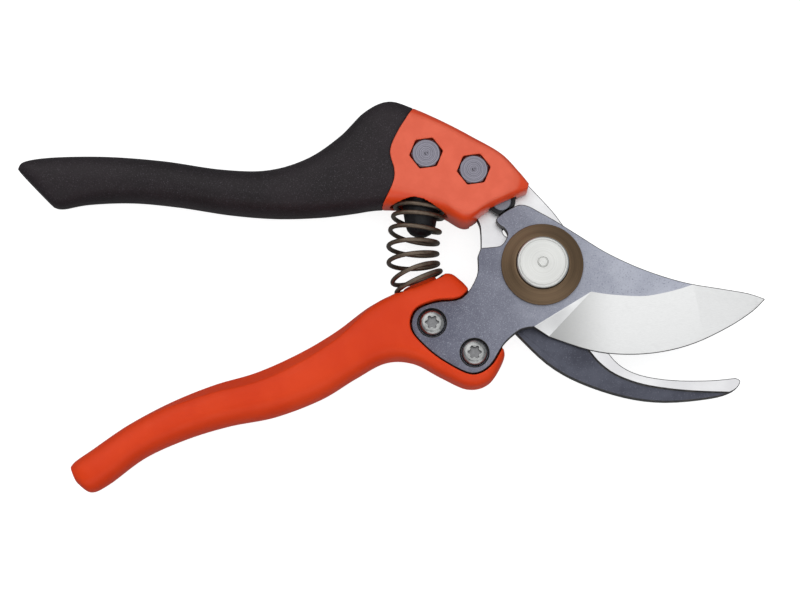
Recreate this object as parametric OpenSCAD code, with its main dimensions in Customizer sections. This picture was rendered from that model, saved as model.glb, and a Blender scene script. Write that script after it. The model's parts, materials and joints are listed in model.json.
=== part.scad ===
// Bypass pruning shears, lying flat and fully open.
// Outlines are drawn about the pivot, with the shear plane at z = 0 and the cutting blade above it.
// place() then moves every piece so that the open tool's box stands centred on the origin.

/* [Blades] */
// Thickness of the cutting blade
blade_t = 3.4; // [3.2:0.1:3.5]
// Thickness of the counter blade
counter_t = 4.6; // [4.2:0.1:4.8]
// Thickness left at the cutting edge
edge_t = 0.25; // [0.15:0.05:0.4]
// Depth of the step beside the ground land of the counter blade
land_step = 0.9; // [0.5:0.1:1.2]
// Angle from fully open to fully closed
closed_angle = 22.5; // [20:0.5:22.5]

/* [Pivot] */
// Radius of the pivot bolt
bolt_r = 4; // [3.6:0.1:4.2]
// Radial running clearance of the turning pieces
run_gap = 0.05; // [0.02:0.01:0.08]
// Radius of the bronze front disc
disc_r = 11.5; // [11:0.1:11.8]
// Radius of the pivot nut
nut_r = 7.25; // [6.8:0.05:7.4]

/* [Handles] */
// Wall of the soft grip over the handle core
grip_wall = 2.2; // [1.8:0.1:2.6]
// Gap round the blade's tang in its pocket
pocket_gap = 0.5; // [0.3:0.1:0.6]
// Height of the shear plane over the surface that the shears lie on
shear_h = 10.8; // [10.7:0.05:10.9]

/* [Spring] */
// Thickness of the spring wire
wire_d = 1.3; // [1.2:0.05:1.4]
// Outer diameter of the coil
coil_d = 15.1; // [14.8:0.1:15.2]
// Number of turns
coil_turns = 7.3; // [7:0.1:7.4]

/* [Fasteners] */
// Radius of the screws and tang bolts
screw_r = 2; // [1.8:0.1:2.1]
// Width across the flats of the tang bolts' heads
hex_af = 7.8; // [7.4:0.1:7.9]

/* [Hidden] */
$fn = 64;

face_gap = 0.05;          // between faces that slide on each other
curve_steps = 4;          // straight pieces between two points of an outline
loft_steps = 4;           // rings between two stations of a handle
ring_points = 28;         // points round a handle
box_mid = [-42.3, -8.05]; // centre of the open tool's box, seen from the pivot

stop_at = [-11.2, 18.3];  // axle of the lock lever, whose sleeve is the opening stop
stop_head_r = 2.85;
stop_sleeve_r = 3.9;
stop_flat = 3;            // from the axle's middle to the flat that the blade's nose rests on
stop_flat_dir = -58;      // direction of that flat from the axle
axle_r = 1.75;
relief_at = [-9.2, 10.3]; // small round hole beside the pivot
relief_r = 1.7;
washer_low = -5.9;        // back face of the rear washer
bush_r = bolt_r + 1.5;
disc_low = blade_t + face_gap;
disc_h = 2.45;            // from the front disc's back to the face that the disc spring lies on
nut_low = disc_low + disc_h + 0.4;
tang_bolt_at = [[-32.4, 31], [-19.1, 26.4]];
blade_screw_at = [[-30.8, -16.4], [-19, -24.8]];
hex_corner_r = hex_af / sqrt(3);
hex_turn = 8;
bolt_seat = 4.4;          // under the tang bolts' heads
nut_seat = -7.2;          // under their nuts
nut_af = 7;
nut_gap = 0.2;            // round the hexagons in their pockets
screw_seat = blade_t - 1; // under the blade screws' heads
insert_r = 3.2;
insert_z = [-7.6, -0.4];
handle_mid_z = -1.2;      // middle of both grips

// The spring's middle line from its foot to its top, in equal steps.
spring_axis = [[-34.1, -5], [-35.7, -0.6], [-36.1, 4], [-35.8, 8.7], [-34.9, 13.3], [-34.2, 17.5]];
bumper_x = -33.9;
recess_x = -34.4;
recess_r = 8.1;
recess_end = 20.55;       // how far up the head's recess for spring and bumper goes
stem_r = 2.35;            // stem that holds the bumper in the head
stem_end = 25.3;
boss_r = 4.9;             // boss inside the spring's foot, hollowed for the bumper's tip
boss_h = 2;
dimple_r = 3.6;
boss_floor = 1.3;         // height of the dimple's floor over the seat
seat_sink = wire_d / 2 + 0.13; // the lower seat lies this far under the wire's middle line
seat_tilt = closed_angle - 1.5; // lean of the lower seat while open; it meets the upper seat square
coil_r = (coil_d - wire_d) / 2;

lock_angle = 240;         // direction of the lever's arm when it is locked
lock_swing = 28;
arm_reach = [18.5, 21.5]; // start and end of the lever's barb along its arm
arm_half_w = 2;
barb_w = 5.5;
thumb_at = 75;            // direction of the thumb tab from the arm
thumb_reach = 8.5;
lever_z = [-8, -5];

// Each handle station: top x, y, bottom x, y, half thickness, middle z, squareness (1 is an ellipse).
upper_stations = [
    [-147.1, 28.5, -137.9, 17.9, 5.2, -1.2, 0.8],
    [-145.3, 30.4, -134.9, 17.3, 7, -1.2, 0.8],
    [-137.6, 31.3, -127.4, 18.3, 8.2, -1.2, 0.85],
    [-122.5, 31.4, -115.3, 18.8, 8.9, -1.2, 0.85],
    [-106.3, 30.1, -102.2, 17.6, 9.3, -1.2, 0.85],
    [-90.1, 27.7, -88, 15.4, 9.6, -1.2, 0.85],
    [-77, 27.5, -74.9, 14.3, 9.6, -1.2, 0.85],
    [-65.9, 30.9, -62.8, 14.6, 9.6, -1.2, 0.8],
    [-56.8, 37.2, -53.8, 15.6, 9.6, -1.2, 0.75],
    [-49.8, 44.2, -46.7, 16.8, 9.6, -1.2, 0.65],
    [-43.1, 47.1, -40.7, 17, 9.5, -1.3, 0.5],
    [-36.1, 45, -34.1, 16.4, 9.5, -1.5, 0.4],
    [-27.5, 41, -27.8, 15, 9.5, -1.5, 0.35],
    [-19.4, 36.6, -21.3, 11.9, 9.5, -1.5, 0.33],
    [-11.3, 31.7, -15, 15.7, 9.5, -1.5, 0.33],
    [-5.7, 26.9, -8.3, 19.8, 9, -1.8, 0.36],
    [-3.2, 24.1, -4.4, 21.8, 7.4, -2, 0.45]];
head_first = 9;           // the first station of the hard head, counted from the far end
core_last = 12;           // the last station that the core reaches

lower_stations = [
    [-130.9, -56.3, -129.1, -60.7, 4.4, -1.2, 0.8],
    [-129.4, -54.6, -125.3, -63.2, 6.4, -1.2, 0.8],
    [-124.9, -51.5, -120.3, -60.9, 7.4, -1.2, 0.8],
    [-115.1, -44.7, -110.6, -53.6, 8.2, -1.4, 0.8],
    [-103.3, -38.3, -99.3, -48.4, 8.6, -1.6, 0.8],
    [-91.4, -33.4, -87.4, -44.7, 8.8, -1.9, 0.8],
    [-79.5, -29.8, -74.5, -42.1, 8.8, -2, 0.8],
    [-67.6, -24.4, -61.6, -37.1, 8.8, -2, 0.75],
    [-57.6, -18.4, -52.2, -31.3, 8.7, -2.1, 0.7],
    [-48.6, -11.6, -43.7, -26.7, 8.6, -2.2, 0.6],
    [-41.2, -7.7, -35.9, -26.8, 8.4, -2.4, 0.45],
    [-33.6, -4.1, -28.1, -30.8, 8.3, -2.5, 0.4],
    [-26.5, -1.9, -20.7, -34, 8.2, -2.6, 0.35],
    [-22.9, -3.9, -14.7, -32.4, 8.1, -2.7, 0.35],
    [-20.8, -6.3, -10.7, -26, 7.6, -2.7, 0.4],
    [-20.1, -8, -11.1, -22.7, 6.6, -2.7, 0.45]];

// Where the soft grip meets the hard head, from above the handle to below it.
grip_line = [[-34.1, 49.9], [-36.2, 44.2], [-40.5, 37], [-42.5, 31.5], [-41.3, 26.1], [-42, 21.8],
    [-45.7, 15.5], [-48.2, 11.7]];

blade_tang = [[-18, 2.4], [-18.3, -3.2], [-22.5, -9.4], [-29.9, -10.6], [-35.3, -13.1], [-36.3, -18.3],
    [-31.9, -23.6], [-26.1, -27.8], [-19.6, -30.6], [-14.7, -28.3], [-10.9, -22.4], [-7, -18.8],
    [-4.5, -17.8], [-2.5, -17.6]];
blade_edge = [[1.8, -19.9], [13.2, -23.7], [23.1, -24.9], [33.1, -24.2], [42.6, -21.7], [52.2, -17.1],
    [58.9, -12.7], [62.5, -9.2]];
blade_spine = [[62.5, -9.2], [57.5, -7.7], [49.4, -6.5], [41.2, -5.3], [33.3, -3.1], [25.4, -0.1],
    [17.5, 3.8], [10.3, 8.4], [3.4, 12.8], [-0.5, 15], [-3.1, 16.5], [-4.9, 17.1]];
blade_nose = [[-4.9, 17.1], [-6.4, 17.1], [-8, 16.4], [-9.8, 15.45], [-11.8, 14], [-12.7, 13.1],
    [-12.6, 12.2], [-11.6, 11.1], [-10.7, 10.6], [-10, 9.7], [-9.6, 8.6], [-10.1, 7.2], [-11, 5.9],
    [-12.5, 5.2], [-17.1, 4.8]];
// The ground bevel runs from this line down to the cutting edge, at these heights over the shear plane.
bevel_line = [[-2.5, -17.5], [13.6, -7.6], [18.8, -8.4], [27.4, -8.9], [32.7, -8.2], [38.7, -6.7],
    [42.7, -5.2], [49.4, -5.5], [56.7, -6.6], [64.3, -8.2]];
bevel_line_z = [blade_t, blade_t, blade_t, blade_t, blade_t, blade_t, blade_t, 2.7, 1.7, 0.6];
heel_z = 3.1;             // the bevel's height at the heel's corner
bevel_edge = [[-2.4, -17.9], [1.8, -19.9], [10.2, -22.9], [19.1, -24.7], [29.1, -24.7], [38.1, -23.1],
    [45.1, -20.7], [54.2, -15.9], [58.9, -12.7], [64.3, -9.1]];

counter_tang = [[-23.5, 22.5], [-18, 13.7], [-17, 9.6], [-16.9, 1.5], [-15.6, -6.7], [-12.2, -13.3],
    [-6.9, -19]];
counter_back = [[-6.9, -19], [1.4, -27], [10.4, -32.3], [22.9, -36.5], [34.3, -37.9], [47, -36.8],
    [53.2, -34.9], [55.1, -32.4], [53.8, -31.4]];
counter_hook = [[53.8, -31.4], [46.5, -32.1], [36, -32], [27, -30.5], [21, -27.3], [17.2, -21.9],
    [15.7, -14.8], [15.6, -6.7], [14.9, 0.5], [13.3, 5.9]];
counter_top = [[13.3, 5.9], [7.4, 10.5], [3.3, 15.9], [-3.4, 23.3], [-10.4, 30.7], [-16.4, 34.5],
    [-26.5, 38.7], [-33.1, 38.5], [-37.4, 33.8], [-35.4, 28.5], [-29.1, 26.3]];
land_edge = [[-23.6, -10.7], [-11.7, -13.2], [-3.7, -14.4], [3.3, -15.8], [9.2, -19.4], [13.1, -23.8],
    [15.9, -27.1], [20.1, -30.3], [26.3, -32.8], [33.1, -34.2], [41.9, -35.1], [53, -35.5]];

function spline(a, b, c, d, t) =
    0.5 * (2 * b + (c - a) * t + (2 * a - 5 * b + 4 * c - d) * t * t
        + (3 * b - a - 3 * c + d) * t * t * t);
function through(p, steps) = [
    for (i = [0 : len(p) - 2]) for (k = [0 : steps - 1])
        spline(p[max(i - 1, 0)], p[i], p[i + 1], p[min(i + 2, len(p) - 1)], k / steps),
    p[len(p) - 1]];
function chain(runs) = [
    for (r = runs) let (q = through(r, curve_steps)) for (i = [0 : len(q) - 2]) q[i]];
function signed_pow(x, e) = sign(x) * pow(abs(x), e);
function unit(v) = v / norm(v);
function inset_station(s, t) =
    let (d = unit([s[2] - s[0], s[3] - s[1]]) * t)
    [s[0] + d.x, s[1] + d.y, s[2] - d.x, s[3] - d.y, s[4] - t, s[5], s[6]];
function station_ring(s) = [
    for (k = [0 : ring_points - 1])
        let (a = 360 * k / ring_points, u = signed_pow(cos(a), s[6]), v = signed_pow(sin(a), s[6]))
        [(s[0] + s[2] + (s[0] - s[2]) * u) / 2, (s[1] + s[3] + (s[1] - s[3]) * u) / 2,
            s[5] + s[4] * v]];

// The fan that the lever's arm sweeps in the back of the head.
lever_sweep = concat([stop_at], [for (a = [lock_angle - 60 : 6 : lock_angle + lock_swing + 38])
    stop_at + 10.5 * [cos(a), sin(a)]]);
blade_outline = chain([blade_tang, [[-2.5, -17.6], [1.8, -19.9]], blade_edge, blade_spine, blade_nose,
    [[-17.1, 4.8], [-18, 2.4]]]);
counter_outline = chain([counter_tang, counter_back, counter_hook, counter_top,
    [[-29.1, 26.3], [-23.5, 22.5]]]);

module place() {
    translate([-box_mid.x, -box_mid.y, shear_h]) children();
}

// A closed skin over rings of the same number of points, each ring further along than the last.
module skin(rings) {
    n = len(rings[0]);
    last = (len(rings) - 1) * n;
    polyhedron(
        points = [for (r = rings) each r],
        faces = concat(
            [[for (k = [0 : n - 1]) k]],
            [for (i = [0 : len(rings) - 2]) for (k = [0 : n - 1])
                let (a = i * n + k, b = i * n + (k + 1) % n) each [[a, a + n, b + n], [a, b + n, b]]],
            [[for (k = [n - 1 : -1 : 0]) last + k]]));
}

module loft(stations) {
    skin([for (s = through(stations, loft_steps)) station_ring(s)]);
}

function some(list, first, last) = [for (i = [first : last]) list[i]];

module prism(outline, low, high) {
    translate([0, 0, low]) linear_extrude(height = high - low) polygon(outline);
}

module rod(at, r, low, high) {
    translate([at.x, at.y, low]) cylinder(r = r, h = high - low);
}

// Everything under the plane that the shears lie on.
module below_rest() {
    translate([-200, -100, -shear_h - 5]) cube([300, 200, 5]);
}

// Everything on the hard head's side of the grip line.
module head_side() {
    prism(concat(through(grip_line, curve_steps), [[10, 10], [10, 47]]), -20, 20);
}

module core() {
    loft([for (s = some(upper_stations, 1, core_last)) inset_station(s, grip_wall)]);
}

// The lever's frame, with x along its arm, when the lever points at this angle.
module at_lever(angle) {
    translate([stop_at.x, stop_at.y, 0]) rotate([0, 0, angle]) children();
}

module hex_prism(at, af, low, high) {
    translate([at.x, at.y, low]) rotate([0, 0, hex_turn])
        cylinder(r = af / sqrt(3), h = high - low, $fn = 6);
}

module counter_blade() {
    color([0.78, 0.79, 0.8])
    difference() {
        prism(counter_outline, -counter_t, -face_gap);
        prism(concat(through(land_edge, curve_steps), [[70, -36.6], [70, -60], [-24, -60]]),
            -land_step, 1);
        rod([0, 0], bolt_r, -counter_t - 1, 1);
        rod(stop_at, axle_r, -counter_t - 1, 1);
        for (at = tang_bolt_at) rod(at, screw_r + 0.05, -counter_t - 1, 1);
        rod(relief_at, relief_r, -counter_t - 1, 1);
    }
}

module upper_handle() {
    color([0.85, 0.25, 0.12])
    difference() {
        union() {
            intersection() {
                loft(some(upper_stations, head_first - 2, len(upper_stations) - 1));
                head_side();
            }
            core();
        }
        prism(counter_outline, -counter_t, -face_gap);
        rod(stop_at, stop_sleeve_r + face_gap, -face_gap, 3.4);
        rod(stop_at, 5, -20, -counter_t);
        prism(lever_sweep, -20, -counter_t);
        for (at = tang_bolt_at) {
            rod(at, screw_r + 0.05, -20, 20);
            hex_prism(at, hex_af + 2 * nut_gap, bolt_seat, 20);
            hex_prism(at, nut_af + 2 * nut_gap, -20, nut_seat);
        }
        translate([recess_x, 0, handle_mid_z]) rotate([-90, 0, 0]) cylinder(r = recess_r, h = recess_end);
        translate([bumper_x, 0, handle_mid_z]) rotate([-90, 0, 0])
            cylinder(r = stem_r + face_gap, h = stem_end + face_gap);
        below_rest();
    }
}

module soft_grip() {
    color([0.12, 0.11, 0.12])
    difference() {
        loft(some(upper_stations, 0, head_first + 3));
        head_side();
        core();
        below_rest();
    }
}

module tang_bolts() {
    head_high = 7.6;
    chamfer = 0.7;
    end = -9.9;
    color([0.42, 0.43, 0.46])
    for (at = tang_bolt_at) {
        intersection() {
            hex_prism(at, hex_af, bolt_seat, head_high);
            translate([at.x, at.y, bolt_seat]) rotate_extrude()
                polygon([[0, 0], [hex_corner_r + 0.1, 0],
                    [hex_corner_r + 0.1, head_high - bolt_seat - chamfer],
                    [hex_af / 2 - 0.1, head_high - bolt_seat],
                    [0.5, head_high - bolt_seat], [0, head_high - bolt_seat - 0.4]]);
        }
        rod(at, screw_r, end, bolt_seat);
    }
}

module tang_nuts() {
    height = 3;
    color([0.42, 0.43, 0.46])
    for (at = tang_bolt_at) difference() {
        hex_prism(at, nut_af, nut_seat - height, nut_seat);
        rod(at, screw_r, nut_seat - height - 1, nut_seat + 1);
    }
}

module spring_bumper() {
    flange_y = 19.4;
    flange_r = 7.3;
    tip_y = 8.4;
    color([0.08, 0.08, 0.08])
    translate([bumper_x, 0, handle_mid_z]) rotate([-90, 0, 0])
        rotate_extrude()
            polygon([[0, tip_y], [0.6, tip_y + 0.1], [0.8, tip_y + 0.35], [1.8, tip_y + 0.5],
                [2.9, tip_y + 1.1], [3.8, tip_y + 2.2], [4.25, tip_y + 3.5], [4.95, tip_y + 7.5],
                [5.1, flange_y], [flange_r, flange_y], [flange_r, recess_end - face_gap],
                [stem_r, recess_end - face_gap], [stem_r, stem_end], [0, stem_end]]);
}

// The wire turns about the spring's middle line. How much closer together its turns are at the
// ends is the sum of two waves over its length.
end_squeeze = [0.0573, 0.0143];
function spring_line(s) =
    let (spans = len(spring_axis) - 1, i = max(0, min(floor(s * spans), spans - 1)))
    spline(spring_axis[max(i - 1, 0)], spring_axis[i], spring_axis[i + 1],
        spring_axis[min(i + 2, spans)], s * spans - i);
function wire_share(u) = u - end_squeeze[0] * sin(360 * u) - end_squeeze[1] * sin(720 * u);
function wire_at(u) =
    let (s = wire_share(u), mid = spring_line(s), ahead = unit(spring_line(s + 0.001) - mid),
        turn = 360 * coil_turns * u, across = [ahead.y, -ahead.x] * cos(turn))
    [mid.x + coil_r * across.x, mid.y + coil_r * across.y, handle_mid_z - coil_r * sin(turn)];
function wire_ring(u) =
    let (du = 0.0005, p = wire_at(u), along = unit(wire_at(u + du) - wire_at(u - du)),
        mid = spring_line(wire_share(u)),
        out = unit(p - [mid.x, mid.y, handle_mid_z]), side = unit(cross(along, out)))
    [for (k = [0 : 7]) p + wire_d / 2 * (out * cos(45 * k) - side * sin(45 * k))];

module coil_spring() {
    rings_a_turn = 18;
    rings = floor(coil_turns * rings_a_turn);
    color([0.32, 0.27, 0.22])
    skin([for (i = [0 : rings]) wire_ring(i / rings)]);
}

module stop_sleeve() {
    color([0.06, 0.06, 0.06])
    difference() {
        rod(stop_at, stop_sleeve_r, 0.1, 3);
        rod(stop_at, stop_head_r, 0, 4);
        translate([stop_at.x, stop_at.y, 0]) rotate([0, 0, stop_flat_dir])
            translate([stop_flat, -5, -1]) cube([5, 10, 5]);
    }
}

module lock_axle() {
    length = 9;
    head_h = 3.2;
    chamfer = 0.4;
    color([0.45, 0.46, 0.5])
    translate([stop_at.x, stop_at.y, -face_gap]) rotate_extrude()
        polygon([[0, -length], [axle_r, -length], [axle_r, 0], [stop_head_r, 0],
            [stop_head_r, head_h - chamfer], [stop_head_r - chamfer, head_h], [0, head_h]]);
}

module lock_clip() {
    clip_r = 3.2;
    high = lever_z[0] - 0.1;
    low = high - 0.65;
    color([0.6, 0.61, 0.63])
    difference() {
        rod(stop_at, clip_r, low, high);
        rod(stop_at, axle_r, low - 1, high + 1);
    }
}

module lock_lever() {
    thickness = lever_z[1] - lever_z[0];
    hub_r = 4.2;
    thumb_w = 4.4;
    tip = arm_reach[1];
    heel = arm_reach[0];
    color([0.1, 0.1, 0.11])
    at_lever(lock_angle + lock_swing) difference() {
        union() {
            translate([0, 0, lever_z[0]]) linear_extrude(height = thickness) {
                circle(r = hub_r);
                polygon([[0, -3.6], [4.5, -4.4], [11, -4.4], [heel - 3, -2.6], [heel - 1.2, -1.8],
                    [heel, -1.8], [heel, 0.6 - barb_w], [heel + 0.6, -barb_w], [tip - 0.6, -barb_w],
                    [tip, 0.6 - barb_w], [tip, arm_half_w - 1], [tip - 1, arm_half_w],
                    [14, arm_half_w], [10.5, -0.2], [5, -0.2], [3.6, 1.6], [0, 3.6]]);
                rotate([0, 0, thumb_at]) {
                    translate([0, -thumb_w / 2]) square([thumb_reach, thumb_w]);
                    translate([thumb_reach, 0]) circle(r = thumb_w / 2);
                }
            }
            for (x = [5.4 : 1.6 : thumb_reach + 0.8])
                rotate([0, 0, thumb_at]) translate([x, -1.7, lever_z[0] - 1]) cube([0.8, 3.4, 1.1]);
        }
        translate([0, 0, -20]) cylinder(r = axle_r + run_gap, h = 30);
    }
}

module pivot_bolt() {
    head_low = -7.6;
    head_r = 6.8;
    end = nut_low + 0.75;
    socket_af = 5;
    color([0.62, 0.63, 0.65])
    difference() {
        translate([0, 0, head_low]) rotate_extrude()
            polygon([[0, 0], [head_r - 0.6, 0], [head_r, 0.6], [head_r, washer_low - head_low],
                [bolt_r, washer_low - head_low], [bolt_r, end - head_low], [0, end - head_low]]);
        hex_prism([0, 0], socket_af, head_low - 1, head_low + 2.4);
    }
}

module pivot_nut() {
    height = 1.6;
    top = nut_low + height;
    socket = 0.8;         // how far the bolt's end stands in the nut
    dot_r = 1.2;
    color([0.8, 0.81, 0.8])
    difference() {
        union() {
            translate([0, 0, nut_low]) rotate_extrude()
                polygon([[bolt_r, 0], [nut_r, 0], [nut_r, height - 0.4], [nut_r - 0.4, height],
                    [0, height], [0, socket], [bolt_r, socket]]);
            rod([0, 0], dot_r, top - 0.1, top + 0.25);
        }
        translate([0, 0, top - 0.2]) rotate_extrude() translate([dot_r, 0]) square([0.3, 1]);
        translate([0, 0, top - 0.12]) rotate_extrude() translate([6.3, 0]) square([0.25, 1]);
    }
}

// A dished disc, highest round the nut.
module front_disc() {
    rim = 0.75;
    inner_r = nut_r + 0.1;
    color([0.36, 0.28, 0.18])
    translate([0, 0, disc_low]) rotate_extrude()
        polygon([[bolt_r, 0], [disc_r - 0.3, 0], [disc_r, 0.3], [disc_r, rim], [disc_r - 0.4, rim + 0.3],
            [disc_r - 0.9, rim + 0.35], [inner_r + 0.5, disc_h + 0.4], [inner_r, disc_h + 0.4],
            [inner_r, disc_h], [bolt_r, disc_h]]);
}

module disc_spring() {
    color([0.5, 0.5, 0.52])
    difference() {
        rod([0, 0], 6.6, disc_low + disc_h, nut_low);
        rod([0, 0], bolt_r, disc_low, nut_low + 1);
    }
}

module rear_washer() {
    washer_r = 8.5;
    color([0.55, 0.56, 0.58])
    difference() {
        rod([0, 0], washer_r, washer_low, -counter_t);
        rod([0, 0], bolt_r, washer_low - 1, 1 - counter_t);
    }
}

module pivot_bush() {
    color([0.7, 0.55, 0.3])
    difference() {
        rod([0, 0], bush_r, 0, blade_t);
        rod([0, 0], bolt_r + run_gap, -1, 5);
    }
}

// The bevel's rulings: the upper line's x, y, z and the cutting edge's x, y, z. The first stands at
// the heel's corner, so that the heel is one flat facet of its own.
bevel_rulings = concat([concat(bevel_line[0], bevel_line_z[0], bevel_edge[0], heel_z)],
    through([for (i = [1 : len(bevel_line) - 1])
        concat(bevel_line[i], bevel_line_z[i], bevel_edge[i], edge_t)], 3));

// What the grinding takes off the blade, a wedge over the whole bevel.
module bevel_cut() {
    overrun = 0.25;       // how far past its two lines the ruled bevel is carried
    lead = 0.02;
    skin([for (r = bevel_rulings)
        let (a = [r[0], r[1], r[2]], e = [r[3], r[4], r[5]],
            back = a - (e - a) * lead, fore = e + (e - a) * overrun)
        [back, [back.x, back.y, 9], [fore.x, fore.y, 9], fore]]);
}

module blade() {
    counterbore_r = 4;
    color([0.5, 0.52, 0.57])
    difference() {
        prism(blade_outline, 0, blade_t);
        bevel_cut();
        rod([0, 0], bush_r, -1, 5);
        for (at = blade_screw_at) {
            rod(at, screw_r + 0.1, -1, 5);
            rod(at, counterbore_r, screw_seat, 5);
        }
    }
}

module blade_screws() {
    head_r = 3.65;
    head_h = 2.3;
    length = 9.8;
    star_depth = 1.3;
    star_r = 1.5;         // from the middle to the six points' round ends
    color([0.72, 0.73, 0.72])
    for (at = blade_screw_at) translate([at.x, at.y, screw_seat]) difference() {
        union() {
            rotate_extrude()
                polygon([[0, 0], [head_r, 0], [head_r, 1], [head_r - 0.35, 1.7], [2.6, 2.15],
                    [1.8, head_h], [0, head_h]]);
            translate([0, 0, -length]) cylinder(r = screw_r, h = length + 0.2);
        }
        translate([0, 0, head_h - star_depth]) {
            cylinder(r = star_r - 0.1, h = 3);
            for (k = [0 : 5]) rotate([0, 0, 60 * k]) translate([star_r, 0, 0]) cylinder(r = 0.42, h = 3);
        }
    }
}

module screw_inserts() {
    color([0.75, 0.6, 0.3])
    for (at = blade_screw_at) difference() {
        rod(at, insert_r, insert_z[0], insert_z[1]);
        rod(at, screw_r, insert_z[0] - 1, 1);
    }
}

// The blade's tang with the gap round it, from the handle's side to just past the pivot end.
module tang_pocket() {
    linear_extrude(height = 12) offset(r = pocket_gap, $fn = 24)
        polygon(chain([blade_tang, [[-2.5, -17.6], [2, -10]], [[2, -10], [-5, 0]],
            [[-5, 0], [-18, 2.4]]]));
}

module lower_handle() {
    color([0.85, 0.22, 0.08])
    difference() {
        loft(lower_stations);
        translate([spring_axis[0].x, spring_axis[0].y, handle_mid_z])
            rotate([0, 0, seat_tilt]) rotate([-90, 0, 0])
            translate([0, 0, -seat_sink]) difference() {
                cylinder(r = coil_d / 2 + 0.5, h = 14);
                translate([0, 0, -1]) difference() {
                    cylinder(r = boss_r, h = boss_h + 1);
                    translate([0, 0, boss_floor]) cylinder(r = dimple_r, h = boss_h);
                }
            }
        tang_pocket();
        for (at = blade_screw_at) {
            rod(at, insert_r, insert_z[0], 1);
            rod(at, screw_r + 0.1, insert_z[0] - 0.6, 1);
        }
        rotate([0, 0, closed_angle]) at_lever(lock_angle)
            translate([arm_reach[0] - 0.35, -barb_w - 0.9, lever_z[0] - 0.5])
            cube([8, 12, lever_z[1] - lever_z[0] + 0.9]);
        below_rest();
    }
}

place() counter_blade();
place() upper_handle();
place() soft_grip();
place() tang_bolts();
place() tang_nuts();
place() spring_bumper();
place() coil_spring();
place() stop_sleeve();
place() lock_axle();
place() lock_clip();
place() lock_lever();
place() pivot_bolt();
place() pivot_nut();
place() front_disc();
place() disc_spring();
place() rear_washer();
place() pivot_bush();
place() blade();
place() lower_handle();
place() blade_screws();
place() screw_inserts();
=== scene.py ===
import json
import math

import bmesh
import bpy
import numpy as np
from mathutils import Matrix, Vector


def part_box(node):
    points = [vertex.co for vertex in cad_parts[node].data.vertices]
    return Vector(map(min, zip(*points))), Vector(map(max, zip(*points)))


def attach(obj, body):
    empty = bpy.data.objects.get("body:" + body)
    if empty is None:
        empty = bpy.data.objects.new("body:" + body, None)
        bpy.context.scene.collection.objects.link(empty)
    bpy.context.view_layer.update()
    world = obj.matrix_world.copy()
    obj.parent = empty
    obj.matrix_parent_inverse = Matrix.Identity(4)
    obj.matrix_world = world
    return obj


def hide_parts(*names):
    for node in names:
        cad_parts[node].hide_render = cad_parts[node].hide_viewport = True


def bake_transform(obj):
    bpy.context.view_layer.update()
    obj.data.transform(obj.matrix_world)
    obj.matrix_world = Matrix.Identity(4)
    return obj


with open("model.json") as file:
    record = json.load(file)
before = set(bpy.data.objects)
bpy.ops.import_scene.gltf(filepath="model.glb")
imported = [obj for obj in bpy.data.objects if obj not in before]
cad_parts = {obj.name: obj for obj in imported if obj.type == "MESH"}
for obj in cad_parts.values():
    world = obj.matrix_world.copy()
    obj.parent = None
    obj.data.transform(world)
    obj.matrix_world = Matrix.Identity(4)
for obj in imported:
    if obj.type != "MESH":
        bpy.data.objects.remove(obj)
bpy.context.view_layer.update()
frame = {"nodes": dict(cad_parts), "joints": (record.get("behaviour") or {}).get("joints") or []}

# Shapes are worked out in millimetres from the pivot, with the shear plane at z = 0.
MM = 0.001
JOINTS = {j["name"]: j for j in frame["joints"]}
PIVOT = np.array(JOINTS["pivot"]["pos_m"])
SHEAR_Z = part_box("blade")[0].z
LATCH_AT = (np.array(JOINTS["latch_pivot"]["pos_m"]) - PIVOT)[:2] / MM
CLOSED = math.radians(JOINTS["pivot"]["range_deg"][1])
REST_Z = -SHEAR_Z / MM  # what the shears lie on
NODES = frame["nodes"]
FAR = 20  # beyond every surface of the shears, above and below

# Each handle station: top x, y, bottom x, y, half thickness, middle z, and the outline's power, which
# is 1 for an ellipse and less for a squarer ring.
UPPER = [
    (-147.7, 28, -137.4, 17.4, 5.2, -1.2, 0.72),
    (-145.8, 30.1, -134.7, 17, 7, -1.2, 0.76),
    (-137.6, 31.3, -127.4, 18.3, 8.2, -1.2, 0.85),
    (-122.5, 31.4, -115.3, 18.8, 8.9, -1.2, 0.85),
    (-106.3, 30.1, -102.2, 17.6, 9.3, -1.2, 0.85),
    (-90.1, 27.7, -88, 15.4, 9.5, -1.2, 0.85),
    (-77, 27.5, -74.9, 14.3, 9.5, -1.2, 0.85),
    (-65.9, 30.9, -62.8, 14.6, 9.5, -1.2, 0.8),
    (-56.8, 37.2, -53.8, 15.6, 9.6, -1.2, 0.75),
    (-49.8, 44.2, -46.7, 16.8, 9.8, -1.3, 0.65),
    (-43.1, 47.1, -40.7, 17, 10.1, -1.4, 0.55),
    (-36.1, 45, -34.1, 16.4, 10.3, -1.4, 0.5),
    (-27.5, 41, -27.8, 15, 10.3, -1.4, 0.46),
    (-19.4, 36.6, -21.3, 11.9, 10.3, -1.4, 0.44),
    (-11.3, 31.7, -15, 15.7, 10.2, -1.4, 0.44),
    (-6.2, 26.4, -7.7, 19.1, 9.2, -1.6, 0.5),
    (-3.5, 23.2, -4.1, 20.7, 7.6, -1.8, 0.6),
]
HEAD_FIRST = 9  # grip and head are both lofted past this station, and cut along GRIP_LINE
HEAD_TOP_Z = 8.0
GRIP_PROUD = 0.2  # how far the grip's top stands over the head's
LOWER_TOP_Z = 8
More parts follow.
